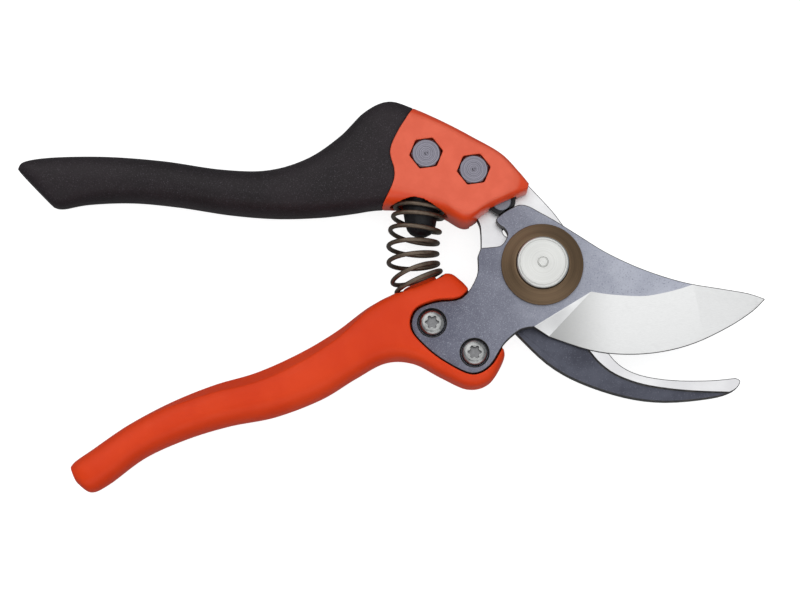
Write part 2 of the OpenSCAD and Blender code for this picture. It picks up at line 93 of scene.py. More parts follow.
LOWER = [
    (-130.9, -56.3, -129.1, -60.7, 4.4, -1.2, 0.8),
    (-129.4, -54.6, -125.3, -63.2, 6.4, -1.2, 0.8),
    (-124.9, -51.5, -120.3, -60.9, 7.4, -1.2, 0.8),
    (-115.1, -44.7, -110.6, -53.6, 8.2, -1.4, 0.8),
    (-103.3, -38.3, -99.3, -48.4, 8.6, -1.6, 0.8),
    (-91.4, -33.4, -87.4, -44.7, 8.8, -1.9, 0.8),
    (-79.5, -29.8, -74.5, -42.1, 8.8, -2, 0.8),
    (-67.6, -24.4, -61.6, -37.1, 8.8, -2, 0.75),
    (-57.6, -18.4, -52.2, -31.3, 8.7, -2.1, 0.7),
    (-48.6, -11.6, -43.7, -26.7, 8.6, -2.2, 0.6),
    (-41.2, -7.7, -35.9, -26.8, 8.4, -2.4, 0.5),
    (-33.6, -4.1, -28.1, -30.8, 8.3, -2.5, 0.45),
    (-26.5, -1.9, -20.7, -34, 8.2, -2.6, 0.42),
    (-22.9, -3.9, -14.7, -32.4, 8.1, -2.7, 0.42),
    (-20.8, -6.3, -10.7, -26, 7.6, -2.7, 0.45),
    (-20.1, -8, -11.1, -22.7, 6.6, -2.7, 0.5),
]
# Where the lower handle's ridge runs: x and the share of the handle's half width above its middle.
RIDGE = [(-114, 0.98), (-100, 0.6), (-86, 0.46), (-74, 0.5), (-58, 0.62), (-45, 0.98)]
RIDGE_FOOT = 0.3  # height of the ridge's far side at the outline, as a share of the half thickness

# Outlines, as points of smooth lines.
GRIP_LINE = [(-34.1, 49.9), (-36.2, 44.2), (-40.5, 37), (-42.5, 31.5), (-41.3, 26.1), (-42, 21.8),
             (-45.7, 15.5), (-48.2, 11.7)]
BLADE_TANG = [(-18, 2.4), (-18.3, -3.2), (-22.5, -9.4), (-29.9, -10.6), (-35.3, -13.1),
              (-36.3, -18.3), (-31.9, -23.6), (-26.1, -27.8), (-19.6, -30.6), (-14.7, -28.3),
              (-10.9, -22.4), (-7, -18.8), (-4.5, -17.8), (-2.5, -17.6)]
TANG_INNER = [(2, -10), (-5, 0)]  # corners that close the tang's outline, clear of the handle
HEAD_SLOT = [
    [(-29.1, 26.3), (-23.5, 22.5), (-18, 13.7), (-17, 9.6)],
    [(-17, 9.6), (13.3, 5.9)],
    [(13.3, 5.9), (7.4, 10.5), (3.3, 15.9), (-3.4, 23.3), (-8.2, 26.9), (-12.4, 29.6), (-18.2, 32.7),
     (-27.5, 36.5), (-33.1, 36.5), (-36.4, 33), (-35.4, 28.5), (-29.1, 26.3)],
]

# Cuts in the head for the parts that it holds.
TANG_BOLTS = [(-32.4, 31.0), (-19.1, 26.4)]
HEX_TURN = math.radians(8)
BOLT_POCKET, BOLT_POCKET_Z = 8.3, 4.4  # across flats, and its floor
NUT_POCKET, NUT_POCKET_Z = 7.5, -7.2
SLEEVE_ROOM_R, SLEEVE_ROOM_Z = 4.2, (-0.05, 3.4)
COUNTER_BACK_Z = -4.6
LEVER_BOSS_R = 5.0
LEVER_ROOM_R = 10.5
LEVER_ROOM = np.radians(np.arange(180, 307, 4))
RECESS_X, RECESS_R, RECESS_END = -34.4, 8.1, 20.55  # where the spring's top turn sits
SLOT_GAP = 0.05

# Cuts in the lower handle.
BLADE_SCREWS = [(-30.8, -16.4), (-19.0, -24.8)]
TANG_GAP, TANG_CUT_Z = 0.45, (0, 12)
SEAT_BOSS = [(0, -1), (4.9, -1), (4.9, 1.6), (4.5, 2), (3.6, 2), (3.6, 0.3), (0, 0.3)]
SEAT_GAP, SEAT_DEPTH, SEAT_SINK = 0.5, 14, 0.13
SEAT_TILT = CLOSED - math.radians(1.5)
LOCKED = math.radians(240)  # direction of the lever's arm when it is locked
BARB_SLOT = [(17.9, -6.7), (26.2, -6.7), (26.2, 5.9), (17.9, 5.9)]  # seen from the lever's axle
BARB_SLOT_Z = (-8.7, -4.4)

# The return spring. Its turns draw together at its two ends.
SPRING_AXIS = [(-34.1, -5), (-35.7, -0.6), (-36.1, 4), (-35.8, 8.7), (-34.9, 13.3), (-34.2, 17.5)]
SPRING_FOOT = np.array(SPRING_AXIS[0])
SPRING_Z = -1.2
WIRE_R = 0.65
WIRE_SIDES = 16
WIRE_END = 0.86  # the wire's end rings, as a share of its radius
COIL_R = 6.9
COIL_TURNS = 7.3
TURN_STEPS = 40
END_PITCH = (0.0573, 0.0143)

# The front disc: (radius, z) points all round its section.
DISC = [(4, 3.45), (11.3, 3.45), (11.46, 3.52), (11.5, 3.7), (11.5, 4.1), (11.4, 4.28), (11.2, 4.38),
        (10.6, 4.65), (9.6, 5.18), (8.9, 5.62), (8.3, 5.99), (8.0, 6.16), (7.75, 6.26), (7.5, 6.3),
        (7.38, 6.26), (7.35, 6.15), (7.35, 5.9), (4, 5.9)]

# What tells a CAD face's material: how far its normal points up, or where it lies.
SIDE_UP = 0.5
HEEL_UP = 0.93
BEVEL_UP = 0.9985
LAND_UP = 0.99
LAND_Z = -0.3
STAR_R = 2.05
STAR_Z = 4.6


# ---------------------------------------------------------------- plain geometry

def through(points, steps):
    """A smooth line through the points, with this many steps between two of them."""
    p = np.array(points, float)
    line = []
    for i in range(len(p) - 1):
        a, b, c, d = p[max(i - 1, 0)], p[i], p[i + 1], p[min(i + 2, len(p) - 1)]
        for k in range(steps):
            t = k / steps
            line.append(0.5 * (2 * b + (c - a) * t + (2 * a - 5 * b + 4 * c - d) * t * t
                               + (3 * b - a - 3 * c + d) * t ** 3))
    line.append(p[-1])
    return np.array(line)


def chain(runs, steps):
    """One closed outline from runs that meet in corners."""
    return np.concatenate([through(r, steps)[:-1] for r in runs])


def grown(outline, by):
    """The closed outline moved outwards, for points that run anticlockwise."""
    ahead = np.roll(outline, -1, 0) - outline
    ahead /= np.linalg.norm(ahead, axis=1)[:, None]
    along = ahead + np.roll(ahead, 1, 0)
    along /= np.linalg.norm(along, axis=1)[:, None]
    return outline + by * np.stack([along[:, 1], -along[:, 0]], 1)


def skin(rings):
    """A closed skin over rings of the same number of points."""
    n = len(rings[0])
    faces = [tuple(range(n - 1, -1, -1))]
    for i in range(len(rings) - 1):
        for k in range(n):
            a, b = i * n + k, i * n + (k + 1) % n
            faces.append((a, b, b + n, a + n))
    faces.append(tuple(range((len(rings) - 1) * n, len(rings) * n)))
    return np.concatenate(rings), faces


def spun(points, angle):
    """The points turned by angle about z."""
    c, s = math.cos(angle), math.sin(angle)
    x, y = points[:, 0], points[:, 1]
    return np.column_stack([x * c - y * s, x * s + y * c, points[:, 2:]])


def prism(outline, low, high):
    flat = np.array(outline, float)
    ring = np.column_stack([flat, np.full(len(flat), low)])
    return skin([ring, ring + (0, 0, high - low)])


def lathe(profile, at=(0, 0), n=96, turn=0.0):
    """The outline of (radius, z) points turned about z. It starts and ends on the axis."""
    a = turn + np.linspace(0, 2 * math.pi, n, endpoint=False)
    rings = [np.column_stack([at[0] + max(r, 1e-4) * np.cos(a), at[1] + max(r, 1e-4) * np.sin(a),
                              np.full(n, z)]) for r, z in profile]
    return skin(rings)


def rod(at, r, low, high, n=96, turn=0.0):
    return lathe([(r, low), (r, high)], at, n, turn)


def rounded_square(points, power):
    """Where the points of a ring lie across it and up it, from -1 to 1."""
    a = np.linspace(0, 2 * math.pi, points, endpoint=False)
    return [np.sign(w) * np.abs(w) ** power for w in (np.cos(a), np.sin(a))]


def station_ring(s, points):
    u, v = rounded_square(points, s[6])
    return np.column_stack([(s[0] + s[2] + (s[0] - s[2]) * u) / 2,
                            (s[1] + s[3] + (s[1] - s[3]) * u) / 2, s[5] + s[4] * v])


def ridged_ring(s, points):
    """A ring of the lower handle, with a flatter side above a soft ridge."""
    ring = station_ring(s, points)
    u = rounded_square(points, s[6])[0]
    v = (ring[:, 2] - s[5]) / s[4]
    at = np.interp(s[0], *zip(*RIDGE))
    crest = (1 - at ** (2 / s[6])) ** (s[6] / 2)
    side = np.where(u > at, crest + (RIDGE_FOOT - crest) * (u - at) / (1 - at), 1)
    ring[:, 2] = s[5] + s[4] * np.minimum(v, side)
    return ring


def loft(stations, points=112, steps=12, ring=station_ring):
    return skin([ring(s, points) for s in through(stations, steps)])


def turned_ring(profile, n=128):
    """A closed outline of (radius, z) points turned about the pivot's axis."""
    m = len(profile)
    a = np.linspace(0, 2 * math.pi, n, endpoint=False)
    points = [(r * math.cos(t), r * math.sin(t), z) for t in a for r, z in profile]
    faces = [(i * m + k, i * m + (k + 1) % m, (i + 1) % n * m + (k + 1) % m, (i + 1) % n * m + k)
             for i in range(n) for k in range(m)]
    return np.array(points), faces


def new_object(name, shape):
    mesh = bpy.data.meshes.new(name)
    mesh.from_pydata([tuple(v) for v in shape[0]], [], shape[1])
    mesh.validate()
    edit = bmesh.new()
    edit.from_mesh(mesh)
    bmesh.ops.recalc_face_normals(edit, faces=edit.faces)
    edit.to_mesh(mesh)
    edit.free()
    obj = bpy.data.objects.new(name, mesh)
    bpy.context.scene.collection.objects.link(obj)
    return obj


def shape_of(obj):
    """The object's mesh as a shape. The object itself is removed."""
    shape = (np.array([tuple(v.co) for v in obj.data.vertices]),
             [tuple(f.vertices) for f in obj.data.polygons])
    bpy.data.objects.remove(obj)
    return shape


def shade_smooth(obj):
    obj.data.polygons.foreach_set("use_smooth", [True] * len(obj.data.polygons))


def apply_all(obj):
    """Makes what the modifiers show the object's own mesh."""
    made = bpy.data.meshes.new_from_object(obj.evaluated_get(bpy.context.evaluated_depsgraph_get()))
    obj.modifiers.clear()
    obj.data = made


def combine(obj, shape, operation="DIFFERENCE"):
    other = new_object("cutter", shape)
    change = obj.modifiers.new("combine", "BOOLEAN")
    change.operation = operation
    change.solver = "MANIFOLD"
    change.object = other
    apply_all(obj)
    bpy.data.objects.remove(other)


def moulded(obj, voxel, rounds):
    """Rounds every edge a little, as a moulding has it, by a fine remesh and smoothing."""
    remesh = obj.modifiers.new("remesh", "REMESH")
    remesh.mode = "VOXEL"
    remesh.voxel_size = voxel
    smooth = obj.modifiers.new("smooth", "SMOOTH")
    smooth.factor = 0.5
    smooth.iterations = rounds
    apply_all(obj)
    shade_smooth(obj)


def in_frame(at):
    """The x and y, in the frame's metres, of a point in millimetres from the pivot."""
    return PIVOT[0] + at[0] * MM, PIVOT[1] + at[1] * MM


def settle(obj, body, material, node):
    """Moves a finished piece into the frame's metres, and puts it on its body in place of its node.
    The spring gets no body."""
    co = np.empty(len(obj.data.vertices) * 3)
    obj.data.vertices.foreach_get("co", co)
    co = co.reshape(-1, 3) * MM + (PIVOT[0], PIVOT[1], SHEAR_Z)
    obj.data.vertices.foreach_set("co", co.ravel())
    obj.data.update()
    obj.data.materials.clear()
    obj.data.materials.append(material)
    if body:
        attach(obj, body)
    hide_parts(node)


# ---------------------------------------------------------------- materials

class Look:
    """A node material under construction. Lengths in it are millimetres."""

    def __init__(self, name, **fixed):
        self.material = bpy.data.materials.new(name)
        self.material.use_nodes = True
        self.tree = self.material.node_tree
        self.shader = self.tree.nodes["Principled BSDF"]
        self.place = self.add("ShaderNodeTexCoord").outputs["Object"]
        for socket, value in fixed.items():
            self.shader.inputs[socket.replace("_", " ")].default_value = value

    def add(self, kind, **settings):
        node = self.tree.nodes.new(kind)
        for key, value in settings.items():
            setattr(node, key, value)
        return node

    def link(self, a, b):
        self.tree.links.new(a, b)

    def stretched(self, scale):
        node = self.add("ShaderNodeMapping")
        node.inputs["Scale"].default_value = scale
        self.link(self.place, node.inputs["Vector"])
        return node.outputs["Vector"]

    def noise(self, size, detail=3.0, rough=0.55, at=None):
        node = self.add("ShaderNodeTexNoise")
        node.inputs["Scale"].default_value = 1 / (size * MM)
        node.inputs["Detail"].default_value = detail
        node.inputs["Roughness"].default_value = rough
        self.link(at or self.place, node.inputs["Vector"])
        return node.outputs["Fac"]

    def cells(self, size, at=None):
        node = self.add("ShaderNodeTexVoronoi")
        node.inputs["Scale"].default_value = 1 / (size * MM)
        self.link(at or self.place, node.inputs["Vector"])
        return node.outputs["Distance"]

    def ramp(self, value, low, high, out_low=0.0, out_high=1.0):
        node = self.add("ShaderNodeMapRange", interpolation_type="SMOOTHSTEP")
        for name, number in (("From Min", low), ("From Max", high), ("To Min", out_low),
                             ("To Max", out_high)):
            node.inputs[name].default_value = number
        self.link(value, node.inputs["Value"])
        return node.outputs["Result"]

    def math(self, operation, a, b):
        node = self.add("ShaderNodeMath", operation=operation)
        for socket, value in zip(node.inputs, (a, b)):
            if isinstance(value, (int, float)):
                socket.default_value = value
            else:
                self.link(value, socket)
        return node.outputs[0]

    def mix(self, share, a, b):
        """Colour a where share is 0 and b where it is 1. Sockets 6, 7 and 2 are the node's colours."""
        node = self.add("ShaderNodeMix", data_type="RGBA")
        self.link(share, node.inputs["Factor"])
        for socket, value in ((node.inputs[6], a), (node.inputs[7], b)):
            if isinstance(value, (tuple, list)):
                socket.default_value = (*value, 1)
            else:
                self.link(value, socket)
        return node.outputs[2]

    def axis(self, name):
        node = self.add("ShaderNodeSeparateXYZ")
        self.link(self.place, node.inputs[0])
        return node.outputs[name]

    def along_x(self, start, end):
        """0 up to start and 1 from end on, both in millimetres from the pivot along x."""
        return self.ramp(self.axis("X"), PIVOT[0] + start * MM, PIVOT[0] + end * MM)

    def far_from(self, at):
        """Distance in metres from an upright line through a point given in millimetres."""
        x, y = in_frame(at)
        node = self.add("ShaderNodeMapping")
        node.inputs["Location"].default_value = (-x, -y, 0)
        node.inputs["Scale"].default_value = (1, 1, 0)
        self.link(self.place, node.inputs["Vector"])
        length = self.add("ShaderNodeVectorMath", operation="LENGTH")
        self.link(node.outputs["Vector"], length.inputs[0])
        return length.outputs["Value"]

    def ring_line(self, away):
        """A place that is the same all round a ring, for marks that run round it."""
        node = self.add("ShaderNodeCombineXYZ")
        self.link(away, node.inputs["X"])
        return node.outputs["Vector"]

    def along_rings(self, at):
        """Lays the surface's grain round an upright line through a point given in millimetres."""
        arm = self.add("ShaderNodeVectorMath", operation="SUBTRACT")
        arm.inputs[1].default_value = (*in_frame(at), 0)
        self.link(self.place, arm.inputs[0])
        ring = self.add("ShaderNodeVectorMath", operation="CROSS_PRODUCT")
        ring.inputs[1].default_value = (0, 0, 1)
        self.link(arm.outputs["Vector"], ring.inputs[0])
        unit = self.add("ShaderNodeVectorMath", operation="NORMALIZE")
        self.link(ring.outputs["Vector"], unit.inputs[0])
        self.link(unit.outputs["Vector"], self.shader.inputs["Tangent"])

    def colour(self, value):
        self.link(value, self.shader.inputs["Base Color"])

    def roughness(self, value):
        self.link(value, self.shader.inputs["Roughness"])

    def bump(self, height, depth_mm, strength=1.0):
        node = self.add("ShaderNodeBump")
        node.inputs["Distance"].default_value = depth_mm * MM
        node.inputs["Strength"].default_value = strength
        self.link(height, node.inputs["Height"])
        before = self.shader.inputs["Normal"].links
        if before:
            self.link(before[0].from_socket, node.inputs["Normal"])
        self.link(node.outputs["Normal"], self.shader.inputs["Normal"])


def grip_rubber():
    look = Look("grip_rubber", Specular_IOR_Level=0.26)
    pebbles = look.cells(0.4)
    fine = look.noise(0.2, 2)
    # Light specks in the black rubber: painted glints, standing in for the grain's tiny highlights.
    painted_grain_glints = look.ramp(look.noise(0.3, 2, 0.7), 0.58, 0.7)
    wide = look.ramp(look.noise(14, 3), 0.35, 0.7)
    ground = look.mix(wide, (0.0085, 0.0052, 0.0068), (0.0145, 0.0092, 0.0118))
    look.colour(look.mix(painted_grain_glints, ground, (0.062, 0.052, 0.062)))
    look.roughness(look.ramp(fine, 0.3, 0.7, 0.42, 0.6))
    look.bump(pebbles, 0.09, 0.8)
    look.bump(fine, 0.04, 0.6)
    return look.material


def head_orange():
    look = Look("orange_composite", Specular_IOR_Level=0.4)
    top = SHEAR_Z + HEAD_TOP_Z * MM
    # The flat top face is painted paler and pinker than the sides: a painted sheen of the overhead
    # light. Its finer grain and higher roughness are its own.
    face_with_painted_sheen = look.ramp(look.axis("Z"), top - 0.95 * MM, top - 0.3 * MM)
    sides = look.mix(look.ramp(look.noise(9, 3), 0.35, 0.7),
                     (0.70, 0.052, 0.008), (0.76, 0.066, 0.012))
    face = look.mix(look.ramp(look.noise(5, 4), 0.35, 0.7),
                    (0.73, 0.106, 0.048), (0.785, 0.124, 0.06))
    look.colour(look.mix(face_with_painted_sheen, sides, face))
    grain = look.noise(0.16, 3)
    look.roughness(look.ramp(face_with_painted_sheen, 0, 1, 0.34, 0.56))
    look.bump(look.math("MULTIPLY", grain, look.ramp(face_with_painted_sheen, 0, 1, 0.25, 1)), 0.03, 0.5)
    return look.material


def handle_orange():
    look = Look("orange_lacquer", Specular_IOR_Level=0.16)
    wide = look.ramp(look.noise(16, 3), 0.35, 0.7)
    look.colour(look.mix(wide, (0.67, 0.042, 0.0045), (0.73, 0.054, 0.008)))
    look.roughness(look.ramp(look.noise(3, 3), 0.3, 0.7, 0.36, 0.46))
    look.bump(look.noise(0.5, 3), 0.012, 0.5)
    look.bump(look.noise(6, 2), 0.05, 0.3)
    return look.material


def phosphated():
    """The cutting blade's grey coat, with painted shade that makes it darker at the tang than towards
    the tip.
    """
    look = Look("blade_steel", Metallic=0.6, Specular_IOR_Level=0.5)
    grain = look.noise(0.3, 4, 0.7)
    wide = look.ramp(look.noise(6, 4, 0.6), 0.3, 0.72)
    # Painted light and shade: the coat goes from dark at the tang to pale towards the tip.
    painted_light_along_blade = look.along_x(-34, 36)
    ground = look.mix(painted_light_along_blade, look.mix(wide, (0.085, 0.087, 0.122), (0.122, 0.126, 0.168)),
                      look.mix(wide, (0.36, 0.375, 0.44), (0.44, 0.455, 0.52)))
    pale = look.mix(look.ramp(grain, 0.52, 0.68, 0, 0.5), ground, (0.5, 0.515, 0.58))
    pits = look.ramp(look.noise(0.42, 3, 0.75), 0.54, 0.7, 0, 0.6)
    look.colour(look.mix(pits, pale, (0.10, 0.102, 0.14)))
    look.roughness(look.ramp(grain, 0.3, 0.7, 0.38, 0.56))
    look.bump(grain, 0.03, 0.7)
    return look.material


def ground_steel(name, lines, low, high, rough, painted_reflection_run=None):
    """Ground steel. lines scales the noise along x, y and z, so a small number draws its marks out;
    the last argument is the stretch along x, in millimetres, over which the colour goes from low to
    high, a painted reflection."""
    look = Look(name, Metallic=1.0)
    marks = look.noise(0.1, 3, 0.6, look.stretched(lines))
    share = look.ramp(look.noise(11, 2), 0.3, 0.75)
    # Over a given stretch along x the colour rises from low to high: a painted reflection, not a
    # change in the steel.
    if painted_reflection_run:
        share = look.along_x(*painted_reflection_run)
    look.colour(look.mix(look.ramp(marks, 0.3, 0.9, 0.0, 0.2), look.mix(share, low, high),
                         tuple(0.8 * c for c in low)))
    look.roughness(look.ramp(marks, 0.3, 0.7, rough - 0.04, rough + 0.04))
    look.bump(marks, 0.0015, 0.5)
    return look.material


def dark_forging():
    look = Look("forged_steel", Metallic=0.6, Specular_IOR_Level=0.5)
    fine = look.noise(0.4, 4, 0.7)
    wide = look.ramp(look.noise(6, 4, 0.6), 0.3, 0.72)
    look.colour(look.mix(look.ramp(fine, 0.56, 0.72),
                         look.mix(wide, (0.042, 0.044, 0.062), (0.075, 0.079, 0.105)),
                         (0.16, 0.165, 0.205)))
    look.roughness(look.ramp(fine, 0.3, 0.7, 0.36, 0.52))
    look.bump(fine, 0.03, 0.6)
    look.bump(look.noise(2.2, 2), 0.05, 0.25)
    return look.material


def steel_edge_painted_shade():
    # The steel's side walls and the rounding along its edges, painted near black: painted shade.
    look = Look("steel_edge_painted_shade", Metallic=0.5, Roughness=0.5)
    look.colour(look.mix(look.ramp(look.noise(1.2, 3), 0.35, 0.7),
                         (0.03, 0.029, 0.033), (0.075, 0.07, 0.066)))
    return look.material


def turned(name, at, colour, dark, rough, metallic=1.0, pitch=0.35, depth=0.012, drawn=0.6):
    """Metal with fine lathe marks about an upright axis, which stretch its highlights outwards."""
    look = Look(name, Metallic=metallic, Anisotropic=drawn)
    away = look.far_from(at)
    wave = look.math("SINE", look.math("MULTIPLY", away, 2 * math.pi / (pitch * MM)), 0)
    look.along_rings(at)
    rings = look.noise(0.3, 3, 0.6, look.ring_line(away))
    share = look.math("ADD", look.ramp(rings, 0.3, 0.7), look.math("MULTIPLY", wave, 0.2))
    look.colour(look.mix(share, dark, colour))
    look.roughness(look.ramp(rings, 0.3, 0.7, rough - 0.05, rough + 0.06))
    look.bump(wave, depth, 0.5)
    return look.material


def plain_metal(name, colour, rough, metallic=1.0, size=0.6):
    look = Look(name, Metallic=metallic)
    fine = look.noise(size, 4, 0.6)
    dark = tuple(c * 0.72 for c in colour)
    look.colour(look.mix(look.ramp(fine, 0.35, 0.68), dark, colour))
    look.roughness(look.ramp(fine, 0.3, 0.7, rough - 0.06, rough + 0.1))
    look.bump(fine, 0.012, 0.4)
    return look.material


def soft_black(name, rough, size=0.5):
    look = Look(name, Specular_IOR_Level=0.25)
    fine = look.noise(size, 3)
    look.colour(look.mix(look.ramp(fine, 0.3, 0.7), (0.006, 0.0055, 0.007), (0.012, 0.011, 0.013)))
    look.roughness(look.ramp(fine, 0.3, 0.7, rough - 0.05, rough + 0.08))
    look.bump(fine, 0.03, 0.4)
    return look.material


# ---------------------------------------------------------------- handles

def beyond_grip_line():
    """All that lies on the head's side of the line where the grip ends."""
    return prism(np.concatenate([through(GRIP_LINE, 16), [(10, 10), (10, 47)]]), -FAR, FAR)


def clamp_z(shape, low, high):
    shape[0][:, 2] = np.clip(shape[0][:, 2], low, high)
    return shape


def hex_rod(at, across_flats, low, high):
    return rod(at, across_flats / math.sqrt(3), low, high, 6, HEX_TURN)


def along_y(shape, origin, tilt=0.0):
    """A shape made about z, laid along y, turned by tilt about z and moved to origin."""
    v = shape[0]
    laid = np.column_stack([v[:, 0], v[:, 2], -v[:, 1]])
    return spun(laid, tilt) + np.array(origin), shape[1]


def build_head():
    shape = clamp_z(loft(UPPER[HEAD_FIRST - 2:]), REST_Z, HEAD_TOP_Z)
    head = new_object("upper_head", shape)
    combine(head, beyond_grip_line(), "INTERSECT")
    x, y = LATCH_AT
    combine(head, rod((x, y), SLEEVE_ROOM_R, *SLEEVE_ROOM_Z))
    combine(head, rod((x, y), LEVER_BOSS_R, -FAR, COUNTER_BACK_Z))
    fan = [(x, y)] + [(x + LEVER_ROOM_R * math.cos(a), y + LEVER_ROOM_R * math.sin(a))
                      for a in LEVER_ROOM]
    combine(head, prism(fan, -FAR, COUNTER_BACK_Z))
    for at in TANG_BOLTS:
        combine(head, hex_rod(at, BOLT_POCKET, BOLT_POCKET_Z, FAR))
        combine(head, hex_rod(at, NUT_POCKET, -FAR, NUT_POCKET_Z))
    pocket = lathe([(0, 0), (RECESS_R, 0), (RECESS_R, RECESS_END), (0, RECESS_END)])
    combine(head, along_y(pocket, (RECESS_X, 0, SPRING_Z)))
    plate_low, plate_high = ((corner.z - SHEAR_Z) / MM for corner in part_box("counter_blade"))
    combine(head, prism(chain(HEAD_SLOT, 10), plate_low - SLOT_GAP, plate_high + SLOT_GAP))
    moulded(head, voxel=0.24, rounds=4)
    settle(head, "hook_side", head_orange(), "upper_handle")


def build_grip():
    shape = clamp_z(loft(UPPER[:HEAD_FIRST + 4]), REST_Z, HEAD_TOP_Z + GRIP_PROUD)
    grip = new_object("soft_grip_skin", shape)
    combine(grip, beyond_grip_line())
    moulded(grip, voxel=0.32, rounds=5)
    settle(grip, "hook_side", grip_rubber(), "soft_grip")


def lever_slot():
    """The slot in the lower handle's back that the lock lever's barb enters when they are shut."""
    locked = spun(np.array(BARB_SLOT), LOCKED) + LATCH_AT
    return prism(spun(locked, CLOSED), *BARB_SLOT_Z)


def build_lower_handle():
    shape = clamp_z(loft(LOWER, ring=ridged_ring), REST_Z, LOWER_TOP_Z)
    handle = new_object("lower_handle_skin", shape)
    seat_r = COIL_R + WIRE_R + SEAT_GAP
    up = np.array([-math.sin(SEAT_TILT), math.cos(SEAT_TILT)])
    seat = (*(SPRING_FOOT - (WIRE_R + SEAT_SINK) * up), SPRING_Z)
    hollow = lathe([(0, 0), (seat_r, 0), (seat_r, SEAT_DEPTH), (0, SEAT_DEPTH)])
    cutter = new_object("seat_cutter", along_y(hollow, seat, SEAT_TILT))
    combine(cutter, along_y(lathe(SEAT_BOSS), seat, SEAT_TILT))
    combine(handle, shape_of(cutter))
    first, last = BLADE_TANG[0], BLADE_TANG[-1]
    tang = chain([BLADE_TANG, [last, TANG_INNER[0]], TANG_INNER, [TANG_INNER[1], first]], 10)
    combine(handle, prism(grown(tang, TANG_GAP), *TANG_CUT_Z))
    combine(handle, lever_slot())
    moulded(handle, voxel=0.26, rounds=4)
    settle(handle, "blade_side", handle_orange(), "lower_handle")


# ---------------------------------------------------------------- spring and disc

AXIS_LINE = through(SPRING_AXIS, 40)


def spring_middle(s):
    """The coil's middle line from its foot to its top."""
    at = np.clip(s, 0, 1) * (len(AXIS_LINE) - 1)
    i = min(int(at), len(AXIS_LINE) - 2)
    return AXIS_LINE[i] + (AXIS_LINE[i + 1] - AXIS_LINE[i]) * (at - i)


def wire_at(u):
    """A point of the wire's middle, and the coil's middle there. u goes from 0 to 1 along the wire."""
    s = u - END_PITCH[0] * math.sin(2 * math.pi * u) - END_PITCH[1] * math.sin(4 * math.pi * u)
    mid = spring_middle(s)
    ahead = spring_middle(s + 0.01) - spring_middle(s - 0.01)
    ahead /= np.linalg.norm(ahead)
    turn = 2 * math.pi * COIL_TURNS * u
    across = np.array([ahead[1], -ahead[0]]) * math.cos(turn)
    centre = np.array([mid[0], mid[1], SPRING_Z])
    return centre + COIL_R * np.array([across[0], across[1], -math.sin(turn)]), centre


def build_spring():
    rings = []
    count = int(COIL_TURNS * TURN_STEPS)
    sides = np.linspace(0, 2 * math.pi, WIRE_SIDES, endpoint=False)
    for i in range(count + 1):
        u = i / count
        p, centre = wire_at(u)
        along = wire_at(u + 2e-4)[0] - wire_at(u - 2e-4)[0]
        along /= np.linalg.norm(along)
        out = (p - centre) / np.linalg.norm(p - centre)
        side = np.cross(along, out)
        side /= np.linalg.norm(side)
        radius = WIRE_R * (WIRE_END if i in (0, count) else 1)
        rings.append(p + radius * (np.outer(np.cos(sides), out) + np.outer(np.sin(sides), side)))
    spring = new_object("coil_spring_wire", skin(rings))
    shade_smooth(spring)
    steel = plain_metal("spring_wire", (0.155, 0.118, 0.088), 0.36, metallic=0.8, size=0.8)
    settle(spring, None, steel, "coil_spring")
    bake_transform(spring)


def build_disc():
    """The dished bronze disc under the pivot nut, highest round the nut."""
    disc = new_object("front_disc_turned", turned_ring(DISC))
    shade_smooth(disc)
    bronze = turned("bronze_disc", (0, 0), (0.175, 0.114, 0.064), (0.125, 0.08, 0.045), 0.42,
                    metallic=0.7, pitch=1.6, depth=0.006, drawn=0.7)
    settle(disc, "hook_side", bronze, "front_disc")


# ---------------------------------------------------------------- carried-over steel and small parts

def dress(node, materials, edge_mm, pick=None, edge_deg=35, edge_material=-1):
    """Gives a CAD node its materials and a fine rounding along its edges. pick says which material
    a face has, and edge_material which one the rounding has, where it isn't its faces' own."""
    obj = NODES[node]
    obj.data.materials.clear()
    for material in materials:
        obj.data.materials.append(material)
    for face in obj.data.polygons:
        face.material_index = pick(face) if pick else 0
        face.use_smooth = True
    weld = obj.modifiers.new("weld", "WELD")
    weld.merge_threshold = 0.002 * MM
    flat = obj.modifiers.new("flat", "DECIMATE")
    flat.decimate_type = "DISSOLVE"
    flat.angle_limit = math.radians(0.3)
    flat.delimit = {"MATERIAL"}
    if edge_mm:
        edge = obj.modifiers.new("edge", "BEVEL")
        edge.width = edge_mm * MM
        edge.segments = 2
        edge.limit_method = "ANGLE"
        edge.angle_limit = math.radians(edge_deg)
        edge.material = edge_material
        edge.use_clamp_overlap = False
    normals = obj.modifiers.new("smooth", "WEIGHTED_NORMAL")
    normals.keep_sharp = True


def dress_steel():
    along_blade = (0.1, 1, 0.1)
    # The bevel's colour rises along x towards the tip: a painted reflection.
    bevel = ground_steel("ground_bevel", along_blade, (0.37, 0.37, 0.365), (0.69, 0.69, 0.685),
                         0.34, (2, 22))
    heel = ground_steel("ground_heel", along_blade, (0.62, 0.62, 0.62), (0.78, 0.78, 0.78), 0.36)
    land = ground_steel("ground_land", along_blade, (0.60, 0.595, 0.605), (0.70, 0.695, 0.70), 0.34)
    edge = steel_edge_painted_shade()
    # The side material paints the steel's side walls and edge rounding near black, as painted shade.
    face, ground, side, facet = range(4)

    def blade_zone(polygon):
        up = polygon.normal.z
        if abs(up) < SIDE_UP:
            return side
        if 0 < up < HEEL_UP:
            return facet
        return ground if 0 < up < BEVEL_UP else face

    def counter_zone(polygon):
        up = polygon.normal.z
        if abs(up) < SIDE_UP:
            return side
        return ground if up > LAND_UP and polygon.center.z > SHEAR_Z + LAND_Z * MM else face

    dress("blade", [phosphated(), bevel, edge, heel], 0.22, blade_zone, 60, side)
    dress("counter_blade", [dark_forging(), land, edge], 0.22, counter_zone, 60, side)


